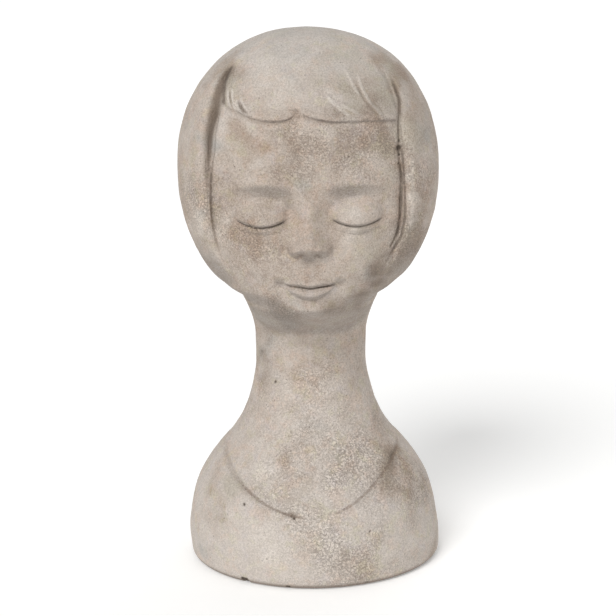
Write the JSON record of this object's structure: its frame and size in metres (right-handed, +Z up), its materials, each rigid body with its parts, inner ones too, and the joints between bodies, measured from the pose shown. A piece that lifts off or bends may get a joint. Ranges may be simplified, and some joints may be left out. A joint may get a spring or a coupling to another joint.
{
  "type": "cement bust",
  "caption": "Cast cement garden bust of a calm child with bobbed hair and fringe, slim neck and rounded shoulders, standing on its flat underside.",
  "frame": {"origin": "middle of the flat underside, under the axis of the neck", "axes": "+Z up to the crown, the face looks along -Y, +X to the right of someone facing it"},
  "size_m": [0.168, 0.1635, 0.35],
  "materials": {
    "cement": "weathered matt cement, sandy, with brown and grey stains"
  },
  "bodies": {
    "root": {"bust": "cement"}
  },
  "joints": []
}
